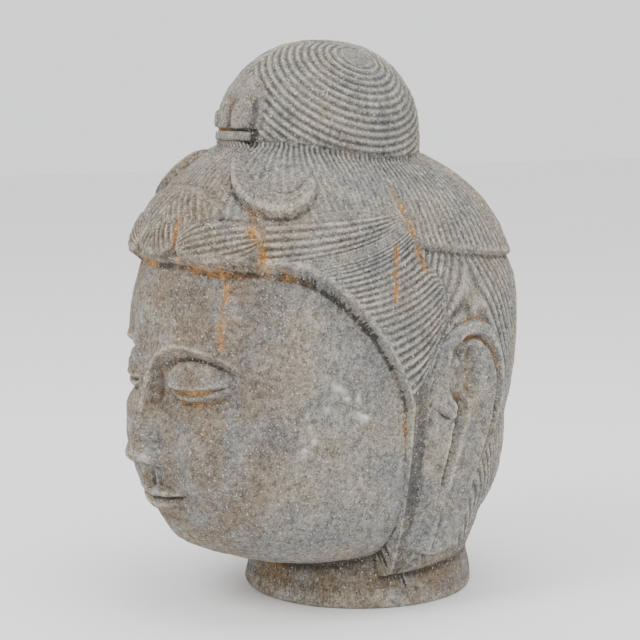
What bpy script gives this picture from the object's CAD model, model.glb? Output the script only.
"""Weathered stone head of a calm Buddha with a topknot, long ears and a short round neck.

One piece, the carved stone, is dressed here.  Its form is written as rules: a skull of hair, a
face, locks, ears, a topknot with its ornament and a neck.  Rays from inside the head find that
form, Geometry Nodes comb the strands of hair into it, and masks kept on the points steer the
stone's colours.  Carving sizes are millimetres until the mesh is made.
"""
import math

import bpy
import numpy as np
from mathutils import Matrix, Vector


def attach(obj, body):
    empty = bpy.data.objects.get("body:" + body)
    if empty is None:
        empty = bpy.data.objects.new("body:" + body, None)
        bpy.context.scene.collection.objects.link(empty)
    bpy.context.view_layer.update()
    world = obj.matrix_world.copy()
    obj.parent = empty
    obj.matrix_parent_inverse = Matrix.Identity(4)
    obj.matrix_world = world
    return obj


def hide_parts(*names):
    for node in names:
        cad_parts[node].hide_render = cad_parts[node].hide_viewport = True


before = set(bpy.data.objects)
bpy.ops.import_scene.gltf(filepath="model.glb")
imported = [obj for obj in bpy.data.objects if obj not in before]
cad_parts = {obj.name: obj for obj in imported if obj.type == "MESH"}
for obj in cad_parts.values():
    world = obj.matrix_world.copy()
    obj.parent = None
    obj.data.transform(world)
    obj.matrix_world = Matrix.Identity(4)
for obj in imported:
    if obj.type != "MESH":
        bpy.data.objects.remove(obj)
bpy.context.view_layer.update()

bl_info = {
    "name": "Stone Buddha Head",
    "version": (1, 0, 0),
    "blender": (4, 5, 0),
    "location": "View3D > Sidebar > Stone Head",
    "description": "Builds a weathered carved stone head on its measured solid",
    "category": "Object",
}

MM = 0.001
STONE = "carved_head"
RAY_CENTRE = (0.0, -42.0, 165.0)
RAY_REACH = 262.0
CROWDED_SHARE, CROWDED_CONE = 0.42, 31.0  # share of the rows in the narrow cone round the topknot

# skull with its hair
SKULL_Y, SKULL_Z = -30.0, 205.0
SKULL_HALF = (118.0, 143.0)
SKULL_UP_BACK, SKULL_UP_FRONT, SKULL_DOWN = 125.0, 137.0, 240.0
SKULL_POWER = 2.3
NAPE_HOLLOW = 7.0
HAIRLINE_FROM, HAIRLINE_TO = 44.0, 88.0
HAIRLINE_LOW, HAIRLINE_HIGH = 150.0, 250.0
CAP_Z, CAP_RISE, CAP_STEP = 262.0, 17.0, 4.0
PER_DEGREE = 2.45  # millimetres to one degree round the skull

# face
FACE_Y, FACE_Z = -35.0, 150.0
FACE_HALF = (110.0, 140.0)
FACE_UP, FACE_DOWN = 165.0, 122.0
FACE_TILT = 0.045

# topknot and neck
KNOT_Y, KNOT_BOTTOM, KNOT_SHOULDER = -35.0, 300.0, 330.0
KNOT_RADIUS, KNOT_DOME, KNOT_POWER = 72.0, 70.0, 2.2
KNOT_POLE = (0.6, 0.04, 0.8)
NECK_RADIUS, NECK_WAIST, NECK_TOP, NECK_UNDER = 84.0, 80.0, 60.0, 24.0

# ears, drawn on the side of the head as (y, z)
EAR_PLANE, EAR_LEAN, EAR_LEAN_BELOW = 122.0, 0.19, 125.0
EAR_FRONT_SLOPE, EAR_FRONT_AT = 0.35, -6.0
EAR_OUTLINE = (
    (-21, 159.5), (-18, 180), (-10, 196), (0, 203.5), (10, 207), (22.5, 207.5), (33, 202), (39.5, 190),
    (43, 175), (43.6, 157), (38.6, 137), (32, 121), (26, 106), (21, 86), (19, 70), (17, 54),
    (8, 44), (-4, 40), (-17, 43), (-30, 53), (-40, 71), (-42, 96), (-38, 123), (-28, 143),
)
EAR_RIM_GROOVE = (
    (2, 186), (7, 193.5), (13, 196.5), (20, 196), (27, 191), (33, 182), (36, 170), (36, 156), (33, 140),
    (28, 124), (24, 108), (20, 92), (17, 80),
)
EAR_HOLLOW_EDGE = ((2, 187), (-3, 180), (-5.5, 171), (-4.5, 162), (0, 156), (4, 153))
EAR_SLIT = ((4, 154), (5, 149), (3, 140), (0, 130), (-2, 118), (-4, 106), (-6, 94))
EAR_SLIT_TAIL = ((-6, 94), (-8, 84), (-9, 76), (-5, 70), (-6, 60), (-8, 50), (-9, 45))
EAR_TRAGUS = ((-20.5, 152.5), (-14, 147), (-7, 142), (-1, 139.5))

# hair, as (degrees from the front, height)
LOOP_PATH = (
    (19.5, 319), (22, 313), (25, 306), (29, 299.5), (34.5, 293.5), (40.5, 290), (46, 290), (50, 294.5),
    (51.8, 301), (50.5, 308),
)
SWEEP_START = (
    (0.0, 39.0, 280.0), (0.07, 39.4, 268.0), (0.14, 39.5, 256.0), (0.2, 41.0, 250.0), (0.3, 48.0, 248.0),
    (0.4, 55.0, 243.0), (0.5, 61.5, 234.5), (0.6, 67.0, 224.0), (0.7, 72.0, 211.0), (0.8, 76.5, 196.0),
    (0.9, 80.5, 179.0), (1.0, 84.5, 158.0),
)
SWEEP_END = (
    (0.0, 88.0, 284.0), (0.3, 89.0, 272.0), (0.45, 90.0, 262.0), (0.55, 92.0, 247.0), (0.65, 97.0, 237.0),
    (0.75, 101.0, 229.0), (0.85, 101.0, 216.0), (0.93, 98.0, 198.0), (1.0, 94.0, 178.0),
)
SWEEP_STRANDS = 31

# damage on the near side: (degrees, height) paths, half width and depth of the cut
CRACKS = (
    (((38.0, 250.0), (39.6, 257.0), (38.2, 266.0), (35.5, 273.0)), 1.1, 1.8),
    (((12.0, 252.0), (10.6, 264.0), (9.0, 277.0)), 1.0, 1.6),
    (((87.5, 297.0), (88.3, 288.0), (90.3, 274.0), (91.4, 261.0), (92.9, 246.0)), 1.2, 1.8),
    (((82.7, 262.0), (81.2, 246.0), (80.7, 226.0)), 0.9, 1.5),
    (((27.0, 244.0), (28.5, 231.0), (27.0, 219.0), (28.0, 196.0)), 0.9, 1.4),
)
SCRATCHES = (
    ((57.0, 172.0), (62.0, 168.0), (66.0, 158.0), (70.0, 160.0)),
    ((60.0, 166.0), (58.0, 152.0), (62.0, 146.0)),
    ((52.0, 150.0), (54.0, 136.0), (50.0, 122.0)),
    ((66.0, 150.0), (72.0, 146.0)),
)
CRACK_WANDER, STAIN_SPREAD, SCRATCH_HALF = 1.2, 2.6, 1.5
CHIP_DEPTH = 0.7
CAVITY_REACH = 4  # grid points that a hollow is measured across
GROOVE_DIRT = 1.6


# ---- shaping helpers -----------------------------------------------------------------------

def smooth(a, b, x):
    t = np.clip((x - a) / (b - a), 0.0, 1.0)
    return t * t * (3.0 - 2.0 * t)


def bump(x, width):
    return np.exp(-(x / width) ** 2)


def mix(a, b, t):
    return a + (b - a) * t


def smooth_min(a, b, k):
    h = np.maximum(k - np.abs(a - b), 0.0) / k
    return np.minimum(a, b) - h * h * k / 4.0


def smooth_max(a, b, k):
    return -smooth_min(-a, -b, k)


def path_distance(u, v, path):
    """Distance to a polyline in the plane, and the share of the way along it."""
    best = np.full(u.shape, 1e9, u.dtype)
    share = np.zeros(u.shape, u.dtype)
    parts = len(path) - 1
    for i in range(parts):
        (au, av), (bu, bv) = path[i], path[i + 1]
        du, dv = bu - au, bv - av
        t = np.clip(((u - au) * du + (v - av) * dv) / (du * du + dv * dv), 0.0, 1.0)
        d = np.hypot(u - au - t * du, v - av - t * dv)
        closer = d < best
        best = np.where(closer, d, best)
        share = np.where(closer, (i + t) / parts, share)
    return best, share


def inside_distance(u, v, outline):
    """Distance to a closed outline, positive outside and negative inside."""
    best = np.full(u.shape, 1e9, u.dtype)
    inside = np.zeros(u.shape, bool)
    for i, (au, av) in enumerate(outline):
        bu, bv = outline[(i + 1) % len(outline)]
        du, dv = bu - au, bv - av
        t = np.clip(((u - au) * du + (v - av) * dv) / (du * du + dv * dv), 0.0, 1.0)
        best = np.minimum(best, np.hypot(u - au - t * du, v - av - t * dv))
        if av != bv:
            crosses = (av > v) != (bv > v)
            inside ^= crosses & (u < du * (v - av) / (bv - av) + au)
    return np.where(inside, -best, best)


def rounded(points, rounds=2):
    """A closed outline with its corners cut smooth."""
    for _ in range(rounds):
        cut = []
        for i, a in enumerate(points):
            b = points[(i + 1) % len(points)]
            cut.append((0.75 * a[0] + 0.25 * b[0], 0.75 * a[1] + 0.25 * b[1]))
            cut.append((0.25 * a[0] + 0.75 * b[0], 0.25 * a[1] + 0.75 * b[1]))
        points = cut
    return points


EAR_EDGE = rounded(EAR_OUTLINE, 1)


def pillow(u, v, centre, half, power, height, dome=0.5, edge=1.6):
    """A raised pad with steep sides: its height, and its inner distance from 0 at the edge to 1."""
    across, up = np.abs((u - centre[0]) / half[0]), np.abs((v - centre[1]) / half[1])
    q = (across ** power + up ** power) ** (1 / power)
    depth = (1.0 - q) * min(half)
    crown = np.sqrt(np.clip(1.0 - q * q, 0.0, 1.0))
    return height * smooth(0.0, edge, depth) * (1.0 - dome + dome * crown), 1.0 - q


def value_noise(points, scale, seed):
    """Smooth random values between -1 and 1 on a lattice of `scale` millimetres."""
    p = points / scale + 100.0 + seed * 7.31
    cell = np.floor(p).astype(np.int64)
    f = (p - cell).astype(np.float32)
    f = f * f * (3.0 - 2.0 * f)
    total = np.zeros(len(points), np.float32)
    for corner in range(8):
        dx, dy, dz = corner & 1, (corner >> 1) & 1, corner >> 2
        mixed = (cell[:, 0] + dx) * 73856093 ^ (cell[:, 1] + dy) * 19349663 ^ (cell[:, 2] + dz) * 83492791
        mixed = (mixed + seed * 2654435761) & 0xFFFFFFFF
        mixed = ((mixed >> 16) ^ mixed) * 0x45D9F3B & 0xFFFFFFFF
        mixed = ((mixed >> 16) ^ mixed) & 0xFFFF
        weight = ((f[:, 0] if dx else 1 - f[:, 0]) * (f[:, 1] if dy else 1 - f[:, 1])
                  * (f[:, 2] if dz else 1 - f[:, 2]))
        total += weight * (mixed / 32767.5 - 1.0).astype(np.float32)
    return total


# ---- the form ------------------------------------------------------------------------------

def from_front(s, y):
    return np.degrees(np.arctan2(s, SKULL_Y - y))


def skull_field(s, y, z):
    up = mix(SKULL_UP_BACK, SKULL_UP_FRONT, smooth(30.0, -90.0, y))
    tall = np.where(z > SKULL_Z, up, SKULL_DOWN)
    q = ((s / SKULL_HALF[0]) ** SKULL_POWER + (np.abs(y - SKULL_Y) / SKULL_HALF[1]) ** SKULL_POWER
         + (np.abs(z - SKULL_Z) / tall) ** SKULL_POWER)
    hollow = NAPE_HOLLOW * bump(z - 95.0, 45.0) * smooth(10.0, 80.0, y)
    return (q ** (1.0 / SKULL_POWER) - 1.0) * 130.0 + hollow


def hairline_field(angle, z):
    """Negative where there is hair: above the brow line and behind the temple line."""
    side = np.clip((angle - HAIRLINE_FROM) / (HAIRLINE_TO - HAIRLINE_FROM), 0.0, None)
    up = np.clip((z - HAIRLINE_LOW) / (HAIRLINE_HIGH - HAIRLINE_LOW), 0.0, None)
    return (1.0 - side ** 1.7 - up ** 1.25) * 68.0


def cap_edge(angle):
    return CAP_Z + CAP_RISE * np.cos(np.radians(angle))


def locks(angle, z):
    """Heights of the locks over the forehead and of the hanging loop: fringe, middle, roll, loop."""
    u = angle * PER_DEGREE
    fringe, fringe_in = pillow(u, z, (24.7 * PER_DEGREE, 264.5), (15.0 * PER_DEGREE, 14.5), 2.8, 6.0)
    middle, middle_in = pillow(u, z, (0.0, 265.0), (11.3 * PER_DEGREE, 14.0), 2.4, 6.0, 0.6)
    roll, roll_in = pillow(u, z, (0.0, 281.0), (24.5 * PER_DEGREE, 19.5), 2.1, 4.5, 0.35)
    distance, along = path_distance(u, z, [(a * PER_DEGREE, h) for a, h in LOOP_PATH])
    half = mix(4.5, 7.0, smooth(0.1, 0.5, along)) - 1.5 * smooth(0.8, 1.0, along)
    q = np.clip(distance / half, 0.0, 1.0)
    loop = 5.2 * np.sqrt(1.0 - q ** 2.6) * smooth(1.02, 0.9, along)
    return (fringe, middle, roll, loop), (fringe_in, middle_in, roll_in, 1.0 - distance / half)


def hair_relief(angle, z):
    below = cap_edge(angle) - z
    behind = smooth(90.0, 97.0, angle)
    under = -CAP_STEP * np.exp(-np.maximum(below, 0.0) / 11.0)
    step = np.where(below > 0.0, under, 0.4 * bump(below, 6.0)) * behind
    (fringe, middle, roll, loop), _ = locks(angle, z)
    return step + np.maximum(np.maximum(fringe, middle), np.maximum(roll, loop))


def face_relief(s, z):
    """How far the carved features stand forward of the plain face."""
    h = 5.0 * bump(s - 56.0, 27.0) * bump(z - 118.0, 32.0)
    # brows and sockets
    t = np.clip((s - 7.0) / 74.0, 0.0, 1.0)
    brow = 180.0 + 14.0 * np.sin(np.pi * t ** 0.8)
    span = smooth(4.0, 10.0, s) * smooth(84.0, 66.0, s)
    h += 1.5 * bump(z - brow, 2.6) * span
    h -= 7.5 * smooth(brow + 0.5, brow - 10.0, z) * smooth(142.0, 160.0, z) * span
    # half-closed eyes with full lids
    e = (s - 43.5) / 25.5
    lid = np.sqrt(np.clip(1.0 - e * e - ((z - 169.5) / 14.5) ** 2, 0.0, 1.0))
    h += 7.5 * lid
    open_span = np.clip(1.0 - e * e, 0.0, 1.0)
    corner = 167.0 + 2.2 * e
    upper = corner - 2.6 * open_span
    lower = corner - 6.6 * open_span
    opening = smooth(upper + 0.5, upper - 0.5, z) * smooth(lower - 0.9, lower + 0.7, z)
    opening = opening * smooth(0.0, 0.2, open_span)
    h -= 2.1 * opening
    h += 0.9 * bump(z - upper - 1.3, 1.3) * smooth(0.0, 0.25, open_span)
    h += 0.7 * bump(z - lower + 1.8, 1.4) * smooth(0.0, 0.25, open_span)
    fold = corner + 8.5 * open_span ** 0.8 + 1.5
    h -= 0.9 * bump(z - fold, 1.2) * smooth(0.02, 0.3, open_span)
    h -= 0.8 * bump(z - corner + 11.5 * open_span ** 0.8 + 1.0, 1.8) * smooth(0.05, 0.4, open_span)
    # nose
    down = np.clip((188.0 - z) / 70.0, 0.0, 1.0)
    base = smooth(104.0, 112.0, z)
    h += 17.0 * down ** 1.1 * smooth(103.0, 115.0, z) * np.exp(-(s / mix(7.5, 11.0, down ** 2)) ** 3)
    h += 2.0 * bump(s, 9.5) * bump(z - 118.5, 8.0)
    h += 11.0 * bump(s - 14.5, 6.2) * bump(z - 115.0, 7.5) * base
    h -= 4.0 * bump(s - 7.5, 3.0) * bump(z - 107.5, 2.6)
    h += 2.5 * bump(s, 5.0) * bump(z - 108.0, 5.0)
    # upper lip groove, lips and corners
    h -= 1.5 * bump(s, 2.8) * smooth(92.0, 96.0, z) * smooth(106.0, 100.0, z)
    h += 0.9 * bump(s - 5.5, 2.4) * smooth(92.0, 96.0, z) * smooth(106.0, 100.0, z)
    m = np.clip(1.0 - (s / 31.0) ** 2, 0.0, 1.0)
    line = 84.5 + 4.0 * (s / 31.0) ** 2 - 1.2 * bump(s, 4.5)
    bow = 8.6 * m ** 0.7 * (1.0 - 0.2 * bump(s, 3.5))
    h += 3.5 * bump(s, 30.0) * bump(z - 84.0, 17.0)
    h += 4.4 * m ** 0.6 * smooth(line - 0.5, line + 1.5, z) * smooth(line + bow + 1.8, line + bow - 2.2, z)
    full = np.clip(1.0 - (s / 26.0) ** 2, 0.0, 1.0)
    h += 5.2 * full ** 0.6 * np.sqrt(np.clip(1.0 - ((z - line + 5.8) / 6.4) ** 2, 0.0, 1.0))
    h -= 3.0 * bump(z - line, 1.3) * smooth(34.0, 28.0, s)
    h -= 2.6 * bump(s - 34.0, 4.0) * bump(z - 89.0, 5.5)
    h -= 3.2 * bump(z - 68.0, 5.0) * bump(s, 20.0)
    # chin with a soft fold under it
    h += 8.0 * bump(z - 51.0, 13.0) * bump(s, 23.0)
    h -= 1.6 * bump(z - 37.0 - 0.004 * s * s, 2.2) * smooth(54.0, 36.0, s)
    # round mark between the brows
    mark = np.hypot(s, z - 216.0)
    h += 1.1 * smooth(8.5, 7.0, mark) - 0.8 * bump(mark - 9.3, 1.0)
    return h


def face_field(s, y, z):
    forward = y + face_relief(s, z) * smooth(-52.0, -104.0, y)
    middle = FACE_Y + FACE_TILT * (FACE_Z - z)
    flat = (s / FACE_HALF[0]) ** 2.3 + (np.abs(forward - middle) / FACE_HALF[1]) ** 2.3
    power = np.where(z > FACE_Z, 2.6, 3.2)
    tall = np.where(z > FACE_Z, FACE_UP, FACE_DOWN)
    q = flat ** (power / 2.3) + (np.abs(z - FACE_Z) / tall) ** power
    return (q ** (1.0 / power) - 1.0) * 118.0


def ear_relief(y, z):
    """Height of the carved ear over its plane, and the distance inside its edge."""
    edge = -inside_distance(y, z, EAR_EDGE)
    top = -5.0 * (1.0 - np.sqrt(np.clip(1.0 - (1.0 - np.clip(edge / 7.0, 0.0, 1.0)) ** 2, 0.0, 1.0)))
    groove, along = path_distance(y, z, EAR_RIM_GROOVE)
    top = top - 6.5 * bump(groove, mix(2.2, 1.3, along)) * smooth(1.02, 0.75, along)
    hollow, _ = path_distance(y, z, EAR_HOLLOW_EDGE)
    within = smooth(-7.0, 3.0, y) * smooth(24.0, 9.0, y) * smooth(150.0, 160.0, z) * smooth(195.0, 186.0, z)
    top = top - 7.0 * within - 3.0 * bump(hollow, 2.0)
    slit, down = path_distance(y, z, EAR_SLIT)
    top = top - 8.5 * bump(slit, mix(3.0, 1.3, down))
    tail, _ = path_distance(y, z, EAR_SLIT_TAIL)
    top = top - 1.6 * bump(tail, 0.9)
    tragus, _ = path_distance(y, z, EAR_TRAGUS)
    top = top - 2.6 * bump(tragus, 1.7)
    front = smooth(2.0, -6.0, y - (z - 150.0) * 0.12) * smooth(150.0, 141.0, z)
    top = top - 3.0 * front
    return top + 1.6 * bump(y - 22.0, 9.0) * bump(z - 168.0, 24.0), edge


def ear_field(s, y, z):
    lean = EAR_LEAN * np.maximum(0.0, EAR_LEAN_BELOW - z)
    lean = lean + EAR_FRONT_SLOPE * np.maximum(0.0, EAR_FRONT_AT - y)
    field = np.full(s.shape, 60.0, s.dtype)
    near = (s > 78.0) & (y > -62.0) & (y < 62.0) & (z > 20.0) & (z < 225.0)
    if near.any():
        top, edge = ear_relief(y[near], z[near])
        out = s[near] - EAR_PLANE + lean[near] - top
        field[near] = smooth_max(out, -edge, 2.5)
    return field


def knot_angle(s, y):
    return np.degrees(np.arctan2(s, KNOT_Y - y))


def ornament(angle, z):
    """Height of two bands, a pair of round petals and the tall leaf behind them."""
    u = angle * 1.3
    side = smooth(28.2, 27.0, u)
    low, _ = pillow(u, z, (0.0, 322.2), (27.9, 4.5), 6.0, 5.6, 0.5, 1.2)
    high, _ = pillow(u, z, (0.0, 332.9), (27.9, 4.2), 6.0, 5.6, 0.5, 1.2)
    petal, _ = pillow(u, z, (12.9, 346.5), (11.4, 12.8), 2.5, 5.6, 0.55, 1.3)
    petal = petal * smooth(337.6, 338.6, z)
    bud, bud_in = pillow(u, z, (20.0, 343.0), (6.0, 7.6), 2.2, 1.4, 0.6, 1.2)
    petal = petal + np.where(petal > 2.0, bud - 1.0 * bump(bud_in, 0.14), 0.0)
    leaf, _ = pillow(u, z, (0.0, 350.0), (32.5, 25.5), 2.5, 2.4, 0.1, 1.0)
    leaf = leaf * smooth(337.0, 338.5, z)
    return np.maximum(np.maximum(low, high) * side, np.maximum(petal, leaf))


def knot_field(s, y, z):
    round_part = (np.hypot(s, y - KNOT_Y) / KNOT_RADIUS) ** KNOT_POWER
    high = (np.maximum(0.0, z - KNOT_SHOULDER) / KNOT_DOME) ** KNOT_POWER
    field = ((round_part + high) ** (1.0 / KNOT_POWER) - 1.0) * 71.0
    return np.maximum(field, KNOT_BOTTOM - z)


def neck_field(x, y, z):
    angle = np.degrees(np.arctan2(np.abs(x), -y))
    crease = 9.2 + 11.0 * smooth(30.0, 82.0, angle)
    radius = mix(NECK_RADIUS, NECK_WAIST, smooth(4.0, 34.0, z))
    radius = radius - 2.8 * bump(z - crease, 1.9) * smooth(84.0, 78.0, angle)
    radius = radius - 2.6 * bump((angle - 79.0) * 1.45, 2.2) * smooth(6.0, 12.0, z)
    radius = radius + 1.2 * bump(z - crease + 6.0, 4.0) * smooth(84.0, 78.0, angle)
    side = np.hypot(x, y) - radius
    return smooth_max(np.maximum(side, z - NECK_TOP), -z, 2.5)


def head_field(points):
    x, y, z = points[:, 0], points[:, 1], points[:, 2]
    s = np.abs(x)
    angle = from_front(s, y)
    hair = smooth_max(skull_field(s, y, z) - hair_relief(angle, z), NECK_UNDER - z, 8.0)
    hair = smooth_max(hair, hairline_field(angle, z), 1.6)
    body = smooth_min(face_field(s, y, z), hair, 1.2)
    body = smooth_min(body, ear_field(s, y, z), 3.0)
    body = smooth_min(body, knot_field(s, y, z), 1.5)
    return smooth_min(body, neck_field(x, y, z), 2.5)


def cast_rays(directions):
    """Distance from the ray centre to the form along each direction, found from outside inwards."""
    centre = np.array(RAY_CENTRE, np.float32)
    count = len(directions)
    outside = np.full(count, RAY_REACH, np.float32)
    inside = np.zeros(count, np.float32)
    active = np.arange(count)
    reach = outside.copy()
    for _ in range(60):
        if not len(active):
            break
        here = centre + directions[active] * reach[active, None]
        field = head_field(here)
        hit = field <= 0.0
        inside[active[hit]] = reach[active[hit]]
        active, field = active[~hit], field[~hit]
        outside[active] = reach[active]
        reach[active] -= np.clip(field * 0.55, 0.7, 14.0)
    low, high = inside, outside
    for _ in range(7):
        middle = 0.5 * (low + high)
        hit = head_field(centre + directions * middle[:, None]) <= 0.0
        low = np.where(hit, middle, low)
        high = np.where(hit, high, middle)
    return 0.5 * (low + high)


# ---- strands, cracks and masks on the form -----------------------------------------------------

def sweep_share(angle, z):
    """Which strand of the temple sweep passes a point, from 0 at the top to 1 beside the ear."""
    shares = np.linspace(0.0, 1.0, 56)
    start, end = np.array(SWEEP_START), np.array(SWEEP_END)
    grid = np.arange(36.0, 104.0, 0.5)
    table = np.empty((len(shares), len(grid)), np.float32)
    t = np.linspace(0.0, 1.0, 40)
    for i, share in enumerate(shares):
        a = (np.interp(share, start[:, 0], start[:, 1]), np.interp(share, start[:, 0], start[:, 2]))
        c = (np.interp(share, end[:, 0], end[:, 1]), np.interp(share, end[:, 0], end[:, 2]))
        b = (mix(a[0], c[0], 0.6), mix(a[1], c[1], 0.12) + 1.5)
        line = [a[k] * (1 - t) ** 2 + 2 * b[k] * t * (1 - t) + c[k] * t ** 2 for k in (0, 1)]
        table[i] = np.interp(grid, line[0], line[1])
    place = np.clip((angle - grid[0]) / 0.5, 0.0, len(grid) - 1.001)
    column = place.astype(int)
    part = place - column
    heights = table[:, column] * (1 - part) + table[:, column + 1] * part
    above = np.clip((heights > z).sum(0), 1, len(shares) - 1)
    rows = np.arange(len(z))
    upper, lower = heights[above - 1, rows], heights[above, rows]
    step = np.clip((upper - z) / np.maximum(upper - lower, 1e-3), -1.0, 2.0)
    spacing = np.abs(upper - lower) * (len(shares) - 1) / SWEEP_STRANDS
    return (above - 1 + step) / (len(shares) - 1), spacing


def comb(points):
    """Strand count and strength at each point of the form: whole numbers of the count are crests."""
    x, y, z = points[:, 0], points[:, 1], points[:, 2]
    s = np.abs(x)
    angle = from_front(s, y)
    count = np.zeros(len(points), np.float32)
    strength = np.zeros(len(points), np.float32)

    def lay(where, phase, force):
        count[where] = phase[where]
        strength[where] = np.broadcast_to(force, phase.shape)[where]

    skull = skull_field(s, y, z)
    knot = knot_field(s, y, z)
    relief = ornament(knot_angle(s, y), z)
    on_knot = (knot < skull - 3.0) | (z > 345.0)
    ears = ear_field(s, y, z)
    line = hairline_field(angle, z)
    on_hair = (line < -1.5) & ~on_knot & (z > 22.0) & (ears > 1.0)

    # cap: strands run down from the foot of the topknot
    round_knot = knot_angle(s, y)
    away = np.hypot(s, y - KNOT_Y) - KNOT_RADIUS
    swirl = round_knot - 0.3 * away * bump(round_knot - 62.0, 22.0)
    cap = on_hair & (z > cap_edge(angle) + 0.5)
    worn = 0.35 + 0.65 * smooth(18.0, 4.0, away) + 0.4 * smooth(86.0, 100.0, angle)
    lay(cap, swirl * 128.0 / 360.0, np.clip(worn, 0.0, 1.0) * smooth(-1.0, 3.0, z - cap_edge(angle)))
    # back: strands fall from the cap's edge and part round the ear
    drop = cap_edge(angle) - z
    slant = 0.25 * np.tanh((angle - 113.0) / 7.0) * smooth(178.0, 132.0, angle)
    back = on_hair & (drop > 1.0) & (angle > 88.0)
    lay(back, (angle - slant * drop) * 128.0 / 360.0, smooth(1.0, 5.0, drop) * smooth(24.0, 40.0, z))
    # temple: strands leave the hairline level and climb as they run back
    share, spacing = sweep_share(angle, z)
    limit = 92.0 + 9.0 * smooth(258.0, 232.0, z) - 6.0 * smooth(210.0, 180.0, z)
    temple = on_hair & (share > 0.0) & (share < 1.02) & (angle > 38.8) & (angle < limit)
    force = smooth(0.0, 0.03, share) * smooth(1.2, 3.0, spacing) * smooth(0.0, 1.5, limit - angle)
    lay(temple, share * SWEEP_STRANDS, force * smooth(-1.5, -4.0, line))
    # locks over the forehead and the loop
    (fringe, middle, roll, loop), (fringe_in, middle_in, roll_in, loop_in) = locks(angle, z)
    u = angle * PER_DEGREE
    curl = roll > np.maximum(fringe, middle) + 0.2
    lay(on_hair & curl & (loop < 1.0), (z * 0.62 + u * 0.78) / 5.6, 0.5 * smooth(0.02, 0.2, roll_in))
    tip = np.sqrt(np.clip(1.0 - ((u - 60.5) / 38.0) ** 2, 0.12, 1.0))
    level = (z - 262.0 - 0.2 * (u - 60.5)) / tip
    lay(on_hair & (fringe > 2.5) & (fringe_in > 0.02), level / 4.9, smooth(0.03, 0.2, fringe_in))
    slanted = (z * 0.5 + u * 0.86) / 4.9
    lay(on_hair & (middle > 2.5) & (middle_in > 0.02), slanted, smooth(0.03, 0.2, middle_in))
    lay(on_hair & (loop > 1.5), loop_in * 2.2, 0.3 * smooth(0.05, 0.3, loop_in))
    # topknot: strands circle a pole on each side
    pole = np.array(KNOT_POLE) / np.linalg.norm(KNOT_POLE)
    out = np.stack([s, y - KNOT_Y, z - KNOT_SHOULDER], -1)
    out = out / np.linalg.norm(out, axis=1, keepdims=True)
    turn = np.arccos(np.clip(out @ pole, -1.0, 1.0)) * KNOT_RADIUS
    plain = smooth(0.5, 0.1, relief) * smooth(5.0, 16.0, turn)
    lay(on_knot, turn / 5.2, plain)
    return count, strength


def make_directions(columns, rows):
    """Rays for rows that lie closer together towards the topknot; the last two are the poles."""
    v = (np.arange(rows) + 0.5) / rows
    down = np.interp(v, [0.0, CROWDED_SHARE, 1.0], [0.0, math.radians(CROWDED_CONE), math.pi])
    around = np.arange(columns) / columns * 2.0 * math.pi
    d, a = np.meshgrid(down, around, indexing="ij")
    grid = np.stack([np.sin(d) * np.sin(a), -np.sin(d) * np.cos(a), np.cos(d)], -1).reshape(-1, 3)
    return np.concatenate([grid, [[0, 0, 1], [0, 0, -1]]]).astype(np.float32)


def grid_faces(columns, rows):
    index = np.arange(columns * rows).reshape(rows, columns)
    upper, lower = index[:-1], index[1:]
    quads = np.stack([upper, lower, np.roll(lower, -1, 1), np.roll(upper, -1, 1)], -1).reshape(-1, 4)
    first, last = index[0], index[-1]
    top, bottom = columns * rows, columns * rows + 1
    caps = [(top, int(a), int(b)) for a, b in zip(first, np.roll(first, -1))]
    caps += [(bottom, int(b), int(a)) for a, b in zip(last, np.roll(last, -1))]
    return quads, caps


def grid_blur(field, columns, rows, reach):
    """Average over a square of grid points, wrapping round the head."""
    block = field[:-2].reshape(rows, columns, -1)
    wide = np.concatenate([block[:, -reach:], block, block[:, :reach]], 1)
    total = np.cumsum(np.pad(wide, ((0, 0), (1, 0), (0, 0))), 1, dtype=np.float64)
    block = (total[:, 2 * reach + 1:] - total[:, :-2 * reach - 1]) / (2 * reach + 1)
    tall = np.pad(block, ((reach, reach), (0, 0), (0, 0)), mode="edge")
    total = np.cumsum(np.pad(tall, ((1, 0), (0, 0), (0, 0))), 0)
    block = (total[2 * reach + 1:] - total[:-2 * reach - 1]) / (2 * reach + 1)
    return np.concatenate([block.reshape(rows * columns, -1), field[-2:]])


def grid_normals(points, columns, rows):
    block = points[:-2].reshape(rows, columns, 3)
    along = np.roll(block, -1, 1) - np.roll(block, 1, 1)
    down = np.gradient(block, axis=0)
    normal = np.cross(down, along).reshape(-1, 3)
    normal /= np.maximum(np.linalg.norm(normal, axis=1, keepdims=True), 1e-9)
    return np.concatenate([normal, [[0, 0, 1], [0, 0, -1]]])


# ---- stone ------------------------------------------------------------------------------------

def new_group(name, inputs, outputs):
    group = bpy.data.node_groups.new(name, "ShaderNodeTree")
    for label, kind, value in inputs:
        socket = group.interface.new_socket(name=label, in_out="INPUT", socket_type=kind)
        socket.default_value = value
    for label, kind in outputs:
        group.interface.new_socket(name=label, in_out="OUTPUT", socket_type=kind)
    return group, group.nodes.new("NodeGroupInput"), group.nodes.new("NodeGroupOutput")


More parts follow.
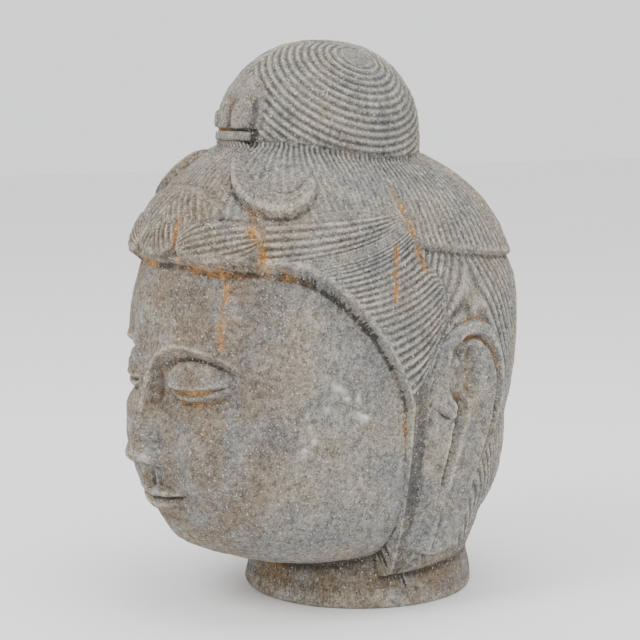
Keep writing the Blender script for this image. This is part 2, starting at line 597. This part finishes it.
class Tree:
    """Short ways to add and join nodes."""

    def __init__(self, tree):
        self.tree = tree

    def node(self, kind, **settings):
        made = self.tree.nodes.new(kind)
        for key, value in settings.items():
            setattr(made, key, value)
        return made

    def feed(self, socket, value):
        if isinstance(value, bpy.types.NodeSocket):
            self.tree.links.new(value, socket)
        elif value is not None:
            socket.default_value = value

    def math(self, operation, a, b=None, c=None, clamp=False):
        made = self.node("ShaderNodeMath", operation=operation, use_clamp=clamp)
        for socket, value in zip(made.inputs, (a, b, c)):
            self.feed(socket, value)
        return made.outputs[0]

    def noise(self, coords, scale, detail=3.0, rough=0.6):
        made = self.node("ShaderNodeTexNoise")
        self.feed(made.inputs["Vector"], coords)
        for key, value in (("Scale", scale), ("Detail", detail), ("Roughness", rough)):
            self.feed(made.inputs[key], value)
        return made.outputs["Fac"]

    def ramp(self, value, low, high, to_low=0.0, to_high=1.0):
        made = self.node("ShaderNodeMapRange", interpolation_type="SMOOTHSTEP")
        for key, given in (("Value", value), ("From Min", low), ("From Max", high),
                           ("To Min", to_low), ("To Max", to_high)):
            self.feed(made.inputs[key], given)
        return made.outputs[0]

    def blend(self, factor, a, b, mode="MIX"):
        made = self.node("ShaderNodeMix", data_type="RGBA", blend_type=mode)
        self.feed(made.inputs["Factor"], factor)
        self.feed(made.inputs["A"], a)
        self.feed(made.inputs["B"], b)
        return made.outputs["Result"]

    def attribute(self, name):
        return self.node("ShaderNodeAttribute", attribute_type="GEOMETRY", attribute_name=name).outputs["Fac"]


def grain_group():
    """Salt-and-pepper grain: a shade around the middle grey, and a height."""
    group, given, result = new_group(
        "Stone grain",
        [("Coords", "NodeSocketVector", (0, 0, 0)), ("Grain Scale", "NodeSocketFloat", 900.0),
         ("Contrast", "NodeSocketFloat", 1.0)],
        [("Shade", "NodeSocketFloat"), ("Height", "NodeSocketFloat")],
    )
    t = Tree(group)
    coords, scale = given.outputs["Coords"], given.outputs["Grain Scale"]
    fine = t.noise(coords, scale, 2.0, 0.7)
    coarse = t.noise(coords, t.math("MULTIPLY", scale, 0.34), 2.0, 0.6)
    both = t.math("ADD", t.math("MULTIPLY", fine, 0.6), t.math("MULTIPLY", coarse, 0.4))
    around = t.math("MULTIPLY", t.math("SUBTRACT", both, 0.5), given.outputs["Contrast"])
    t.feed(result.inputs["Shade"], t.math("ADD", around, 0.5))
    t.feed(result.inputs["Height"], both)
    return group


def linear(r, g, b):
    def one(c):
        return c / 12.92 if c <= 0.04045 else ((c + 0.055) / 1.055) ** 2.4
    return (one(r), one(g), one(b), 1.0)


def stone_material(colours):
    material = bpy.data.materials.new("weathered limestone")
    material.use_nodes = True
    t = Tree(material.node_tree)
    surface = next(n for n in t.tree.nodes if n.type == "BSDF_PRINCIPLED")
    coords = t.node("ShaderNodeTexCoord").outputs["Object"]
    grain = t.node("ShaderNodeGroup", node_tree=grain_group())
    t.feed(grain.inputs["Coords"], coords)
    t.feed(grain.inputs["Grain Scale"], 780.0)
    t.feed(grain.inputs["Contrast"], 2.6)
    shade = grain.outputs["Shade"]

    count, strength = t.attribute("strand"), t.attribute("strand_force")
    wave = t.math("COSINE", t.math("MULTIPLY", count, 2.0 * math.pi))
    crest = t.math("MULTIPLY", t.ramp(wave, 0.25, 0.95), strength)
    groove = t.math("MULTIPLY", t.ramp(wave, 0.1, -0.8), strength)
    hollow = t.ramp(t.attribute("cavity"), -0.15, -1.3)
    proud = t.ramp(t.attribute("cavity"), 0.25, 1.2)
    wash = t.attribute("wash")
    ochre = t.attribute("ochre")

    patches = t.noise(coords, 24.0, 4.0, 0.6)
    cloud = t.noise(coords, 60.0, 5.0, 0.65)
    base = t.blend(t.ramp(patches, 0.38, 0.62), tuple(colours.cool), tuple(colours.warm))
    base = t.blend(t.ramp(cloud, 0.3, 0.7, 0.0, 0.45), base, tuple(colours.pale))
    brown = t.math("MULTIPLY", wash, t.ramp(t.noise(coords, 45.0, 4.0, 0.6), 0.3, 0.62), clamp=True)
    base = t.blend(t.math("MULTIPLY", brown, 0.8), base, tuple(colours.brown))
    dark = t.math("MULTIPLY", t.math("MAXIMUM", hollow, t.math("MULTIPLY", groove, 0.8)), 0.85)
    base = t.blend(dark, base, tuple(colours.dirt))
    light = t.math("MAXIMUM", t.math("MULTIPLY", crest, 0.5), t.math("MULTIPLY", proud, 0.4))
    light = t.math("MULTIPLY", light, t.ramp(cloud, 0.35, 0.6, 0.4, 1.0))
    base = t.blend(light, base, tuple(colours.crest))
    rust = t.math("MULTIPLY", ochre, t.ramp(t.noise(coords, 120.0, 3.0, 0.6), 0.3, 0.6), clamp=True)
    base = t.blend(rust, base, tuple(colours.ochre))

    speck = t.blend(1.0, base, t.ramp(shade, 0.0, 1.0, 0.42, 1.62), "MULTIPLY")
    bright = t.math("MULTIPLY", t.ramp(t.noise(coords, 620.0, 1.0, 0.5), 0.66, 0.74), 0.55)
    speck = t.blend(bright, speck, tuple(colours.fleck))
    speck = t.blend(t.math("MULTIPLY", t.attribute("scratch"), 0.85), speck, tuple(colours.fleck))
    t.feed(surface.inputs["Base Color"], speck)
    t.feed(surface.inputs["Roughness"], t.ramp(shade, 0.2, 0.8, 0.95, 0.78))
    surface.inputs["Specular IOR Level"].default_value = 0.35

    height = t.math("ADD", t.math("MULTIPLY", grain.outputs["Height"], 0.9),
                    t.math("MULTIPLY", t.math("MULTIPLY", wave, strength), 0.25))
    relief = t.node("ShaderNodeBump")
    relief.inputs["Strength"].default_value = 0.7
    relief.inputs["Distance"].default_value = 0.0009
    t.feed(relief.inputs["Height"], height)
    t.feed(surface.inputs["Normal"], relief.outputs["Normal"])
    return material


# ---- Geometry Nodes: comb the strands into the stone ---------------------------------------------

def comb_tree(material):
    """Moves each point along its normal: strands between crest and groove, and the carved damage."""
    tree = bpy.data.node_groups.new("Comb strands", "GeometryNodeTree")
    face = tree.interface
    face.new_socket(name="Geometry", in_out="INPUT", socket_type="NodeSocketGeometry")
    for name, value in (("Strand Depth", 0.0011), ("Crest Sharpness", 1.6)):
        face.new_socket(name=name, in_out="INPUT", socket_type="NodeSocketFloat").default_value = value
    face.new_socket(name="Geometry", in_out="OUTPUT", socket_type="NodeSocketGeometry")
    t = Tree(tree)
    given, result = t.node("NodeGroupInput"), t.node("NodeGroupOutput")

    def read(name):
        made = t.node("GeometryNodeInputNamedAttribute", data_type="FLOAT")
        made.inputs["Name"].default_value = name
        return made.outputs["Attribute"]

    wave = t.math("COSINE", t.math("MULTIPLY", read("strand"), 2.0 * math.pi))
    crest = t.math("MULTIPLY_ADD", wave, 0.5, 0.5, clamp=True)
    crest = t.math("POWER", crest, given.outputs["Crest Sharpness"])
    lift = t.math("MULTIPLY", t.math("SUBTRACT", crest, 0.45), given.outputs["Strand Depth"])
    lift = t.math("MULTIPLY", lift, read("strand_force"))
    lift = t.math("ADD", lift, read("carve"))
    offset = t.node("ShaderNodeVectorMath", operation="SCALE")
    t.feed(offset.inputs[0], t.node("GeometryNodeInputNormal").outputs["Normal"])
    t.feed(offset.inputs["Scale"], lift)
    moved = t.node("GeometryNodeSetPosition")
    t.feed(moved.inputs["Geometry"], given.outputs["Geometry"])
    t.feed(moved.inputs["Offset"], offset.outputs[0])
    real = t.node("GeometryNodeRealizeInstances")
    t.feed(real.inputs[0], moved.outputs["Geometry"])
    dressed = t.node("GeometryNodeSetMaterial")
    dressed.inputs["Material"].default_value = material
    t.feed(dressed.inputs["Geometry"], real.outputs[0])
    t.feed(result.inputs["Geometry"], dressed.outputs["Geometry"])
    return tree


def baked(obj, name):
    """A plain mesh from an object with its modifiers applied; the object is removed."""
    depsgraph = bpy.context.evaluated_depsgraph_get()
    mesh = bpy.data.meshes.new_from_object(obj.evaluated_get(depsgraph), depsgraph=depsgraph)
    mesh.name = name
    bpy.data.objects.remove(obj)
    made = bpy.data.objects.new(name, mesh)
    bpy.context.scene.collection.objects.link(made)
    return made


def set_point_attribute(mesh, name, values):
    layer = mesh.attributes.get(name) or mesh.attributes.new(name, "FLOAT", "POINT")
    layer.data.foreach_set("value", np.ascontiguousarray(values, np.float32))


def ornament_masks(points):
    """Height of the topknot's ornament at each point, and where dirt lies in its grooves."""
    s, y, z = np.abs(points[:, 0]), points[:, 1], points[:, 2]
    angle = knot_angle(s, y)
    on_knot = np.abs(knot_field(s, y, z)) < 2.5
    height = ornament(angle, z)
    framed = on_knot * smooth(31.0, 27.0, 1.3 * angle)
    framed = framed * smooth(315.0, 318.0, z) * smooth(362.0, 356.0, z)
    return height * on_knot * smooth(-60.0, -80.0, y), framed * smooth(4.2, 1.0, height)


def damage_masks(points):
    """Depth of the cracks at each point, the stain beside them and the pale scratches."""
    turned = np.degrees(np.arctan2(points[:, 0], SKULL_Y - points[:, 1])) * PER_DEGREE
    wander = CRACK_WANDER * value_noise(points, 5.0, 6)
    depth = np.zeros(len(points), np.float32)
    stain = np.zeros(len(points), np.float32)
    scratch = np.zeros(len(points), np.float32)

    def off(path, push):
        return path_distance(turned + push, points[:, 2], [(a * PER_DEGREE, h) for a, h in path])[0]

    for path, half, deep in CRACKS:
        distance = off(path, wander)
        depth = depth + deep * bump(distance, half)
        stain = np.maximum(stain, bump(distance, STAIN_SPREAD * half))
    for path in SCRATCHES:
        scratch = np.maximum(scratch, bump(off(path, 2.0 * wander), SCRATCH_HALF))
    return depth, stain, scratch * smooth(-0.3, 0.2, value_noise(points, 3.0, 8))


def carve_stone(settings):
    """The carved form as a raw mesh in metres, with its strand and stain masks on the points."""
    fine = 1.0
    columns, rows = int(settings.columns * fine), int(settings.rows * fine)
    directions = make_directions(columns, rows)
    points = np.array(RAY_CENTRE) + directions * cast_rays(directions)[:, None]
    points = points.astype(np.float32)
    y, z = points[:, 1], points[:, 2]

    count, strength = comb(points)
    strength = strength * np.clip(0.75 + 0.25 * value_noise(points, 26.0, 3), 0.0, 1.0)
    height, grooves = ornament_masks(points)
    cracks, stain, scratch = damage_masks(points)

    above_foot = smooth(1.0, 4.0, z)
    chips = smooth(0.62, 0.8, value_noise(points, 7.0, 9))
    rough = 0.35 * value_noise(points, 9.0, 1) + 0.22 * value_noise(points, 4.0, 2) - CHIP_DEPTH * chips
    carve = rough * above_foot + height - cracks

    reach = max(1, int(round(CAVITY_REACH * fine)))
    normals = grid_normals(points, columns, rows)
    cavity = ((points - grid_blur(points, columns, rows, reach)) * normals).sum(1) - GROOVE_DIRT * grooves
    wash = np.clip(smooth(-95.0, -150.0, y) * 0.8 + smooth(40.0, 22.0, z), 0.0, 1.0)
    seep = smooth(-0.3, -1.2, cavity) * smooth(0.1, 0.6, value_noise(points, 30.0, 5))

    quads, caps = grid_faces(columns, rows)
    mesh = bpy.data.meshes.new("raw stone")
    mesh.from_pydata((points * MM).tolist(), [], quads.tolist() + caps)
    masks = {
        "strand": count,
        "strand_force": strength,
        "carve": carve * MM,
        "cavity": cavity,
        "wash": wash,
        "ochre": np.clip(seep + stain, 0.0, 1.0),
        "scratch": scratch,
    }
    for name, values in masks.items():
        set_point_attribute(mesh, name, values)
    return mesh


# ---- add-on ------------------------------------------------------------------------------------

class STONEHEAD_PG_carving(bpy.types.PropertyGroup):
    strand_depth: bpy.props.FloatProperty(
        name="Strand Depth", description="From groove to crest of one strand of hair",
        default=0.0013, min=0.0, max=0.004, subtype="DISTANCE", unit="LENGTH", precision=4)
    crest_sharpness: bpy.props.FloatProperty(
        name="Crest Sharpness", description="How narrow each strand's crest is",
        default=1.5, min=0.5, max=4.0)
    columns: bpy.props.IntProperty(
        name="Columns", description="Rays round the head", default=960, min=120, max=2000)
    rows: bpy.props.IntProperty(
        name="Rows", description="Rays from crown to foot", default=640, min=80, max=1400)
    most_faces: bpy.props.IntProperty(
        name="Most Faces", description="Triangles that the finished stone keeps",
        default=194000, min=10000, max=199000)


def colour(name, description, value):
    return bpy.props.FloatVectorProperty(
        name=name, description=description, default=linear(*value), size=4, subtype="COLOR", min=0.0, max=1.0)


class STONEHEAD_PG_colours(bpy.types.PropertyGroup):
    cool: colour("Cool Grey", "Blue-grey areas of the stone", (0.39, 0.395, 0.395))
    warm: colour("Warm Grey", "Warm grey areas of the stone", (0.47, 0.44, 0.39))
    pale: colour("Pale Bloom", "Pale weathered bloom", (0.58, 0.56, 0.52))
    brown: colour("Brown Wash", "Brown wash over front and neck", (0.38, 0.31, 0.23))
    dirt: colour("Dirt", "Dark dirt in the hollows", (0.17, 0.15, 0.13))
    crest: colour("Worn Crest", "Pale worn ridges", (0.72, 0.69, 0.63))
    ochre: colour("Ochre", "Ochre stain in cracks and hollows", (0.62, 0.45, 0.24))
    fleck: colour("Fleck", "Bright mineral flecks", (0.86, 0.85, 0.82))


class STONEHEAD_PG_studio(bpy.types.PropertyGroup):
    camera_place: bpy.props.FloatVectorProperty(
        name="Camera Place", description="Where the camera stands", size=3, subtype="XYZ", unit="LENGTH",
        default=(1.0529, -0.7102, 0.364))
    heading: bpy.props.FloatProperty(
        name="Heading", description="Direction round the head that the camera looks from",
        default=math.radians(57.3), subtype="ANGLE")
    dip: bpy.props.FloatProperty(
        name="Dip", description="How far the camera looks down", default=math.radians(7.55), subtype="ANGLE")
    lens: bpy.props.FloatProperty(name="Lens", description="Focal length in millimetres", default=97.14)
    floor_tone: bpy.props.FloatProperty(
        name="Floor Tone", description="Brightness of the floor", default=0.93, min=0.0, max=1.0)


class STONEHEAD_OT_stone(bpy.types.Operator):
    """Carve the stone head and dress it in weathered limestone"""
    bl_idname = "stonehead.carve"
    bl_label = "Carve Stone Head"

    def execute(self, context):
        carving = context.scene.stonehead_carving
        material = stone_material(context.scene.stonehead_colours)
        raw = bpy.data.objects.new("raw stone", carve_stone(carving))
        context.scene.collection.objects.link(raw)
        comb_modifier = raw.modifiers.new("comb", "NODES")
        tree = comb_tree(material)
        comb_modifier.node_group = tree
        inputs = {item.name: item.identifier for item in tree.interface.items_tree if item.in_out == "INPUT"}
        comb_modifier[inputs["Strand Depth"]] = carving.strand_depth
        comb_modifier[inputs["Crest Sharpness"]] = carving.crest_sharpness
        combed = baked(raw, "combed stone")
        triangles = sum(len(face.vertices) - 2 for face in combed.data.polygons)
        thin = combed.modifiers.new("thin", "DECIMATE")
        thin.ratio = min(1.0, carving.most_faces / triangles)
        stone = baked(combed, "stone_head_carving")
        if not stone.data.materials:
            stone.data.materials.append(material)
        stone.data.polygons.foreach_set("use_smooth", [True] * len(stone.data.polygons))
        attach(stone, "root")
        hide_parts(STONE)
        return {"FINISHED"}


def soft_light(name, place, target, size, power, tint=(1.0, 1.0, 1.0)):
    lamp = bpy.data.lights.new(name, "AREA")
    lamp.shape = "DISK"
    lamp.size = size
    lamp.energy = power
    lamp.color = tint
    obj = bpy.data.objects.new(name, lamp)
    obj.location = place
    obj.rotation_euler = (Vector(target) - Vector(place)).to_track_quat("-Z", "Y").to_euler()
    bpy.context.scene.collection.objects.link(obj)
    return obj


class STONEHEAD_OT_stage(bpy.types.Operator):
    """Lay the pale floor, hang the soft lights and set up the camera"""
    bl_idname = "stonehead.stage"
    bl_label = "Set the Stage"

    def execute(self, context):
        studio = context.scene.stonehead_studio
        reach = 6.0
        mesh = bpy.data.meshes.new("floor")
        mesh.from_pydata([(-reach, -reach, 0), (reach, -reach, 0), (reach, reach, 0), (-reach, reach, 0)], [],
                         [(0, 1, 2, 3)])
        floor = bpy.data.objects.new("floor", mesh)
        context.scene.collection.objects.link(floor)
        material = bpy.data.materials.new("pale floor")
        material.use_nodes = True
        t = Tree(material.node_tree)
        surface = next(n for n in t.tree.nodes if n.type == "BSDF_PRINCIPLED")
        coords = t.node("ShaderNodeTexCoord").outputs["Object"]
        tone = studio.floor_tone
        cloud = t.ramp(t.noise(coords, 2.0, 2.0, 0.5), 0.3, 0.7)
        t.feed(surface.inputs["Base Color"],
               t.blend(cloud, (tone, tone, tone, 1.0), (tone * 0.985, tone * 0.985, tone * 0.985, 1.0)))
        surface.inputs["Roughness"].default_value = 0.8
        floor.data.materials.append(material)

        world = bpy.data.worlds.new("studio")
        context.scene.world = world
        world.use_nodes = True
        background = next(n for n in world.node_tree.nodes if n.type == "BACKGROUND")
        background.inputs["Color"].default_value = (0.97, 0.98, 1.0, 1.0)
        background.inputs["Strength"].default_value = 1.35

        middle = (0.0, -0.03, 0.2)
        soft_light("key", (0.2, -1.6, 1.7), middle, 1.0, 26.0, (1.0, 0.98, 0.95))
        soft_light("fill", (1.8, 0.6, 1.0), middle, 1.4, 10.0)
        soft_light("top", (0.3, 0.1, 2.1), middle, 1.2, 16.0)

        camera = bpy.data.objects.new("camera", bpy.data.cameras.new("camera"))
        camera.data.lens = studio.lens
        camera.data.sensor_width = 36.0
        camera.data.clip_start = 0.05
        camera.location = studio.camera_place
        camera.rotation_euler = (math.radians(90.0) - studio.dip, 0.0, studio.heading)
        context.scene.collection.objects.link(camera)
        context.scene.camera = camera
        return {"FINISHED"}


class STONEHEAD_PT_panel(bpy.types.Panel):
    """Sizes, colours and steps of the stone head"""
    bl_label = "Stone Head"
    bl_idname = "STONEHEAD_PT_panel"
    bl_space_type = "VIEW_3D"
    bl_region_type = "UI"
    bl_category = "Stone Head"

    def draw(self, context):
        scene = context.scene
        for title, group in (("Carving", scene.stonehead_carving), ("Stone", scene.stonehead_colours),
                             ("Studio", scene.stonehead_studio)):
            box = self.layout.box()
            box.label(text=title)
            for key in group.__annotations__:
                box.prop(group, key)
        for operator in (STONEHEAD_OT_stone, STONEHEAD_OT_stage):
            self.layout.operator(operator.bl_idname)


CLASSES = (STONEHEAD_PG_carving, STONEHEAD_PG_colours, STONEHEAD_PG_studio, STONEHEAD_OT_stone,
           STONEHEAD_OT_stage, STONEHEAD_PT_panel)
SETTINGS = {
    "stonehead_carving": STONEHEAD_PG_carving,
    "stonehead_colours": STONEHEAD_PG_colours,
    "stonehead_studio": STONEHEAD_PG_studio,
}


def register():
    for cls in CLASSES:
        bpy.utils.register_class(cls)
    for name, cls in SETTINGS.items():
        setattr(bpy.types.Scene, name, bpy.props.PointerProperty(type=cls))


def unregister():
    for name in SETTINGS:
        delattr(bpy.types.Scene, name)
    for cls in reversed(CLASSES):
        bpy.utils.unregister_class(cls)


def main():
    register()
    bpy.ops.stonehead.stage()
    bpy.ops.stonehead.carve()


if __name__ == "__main__":
    main()
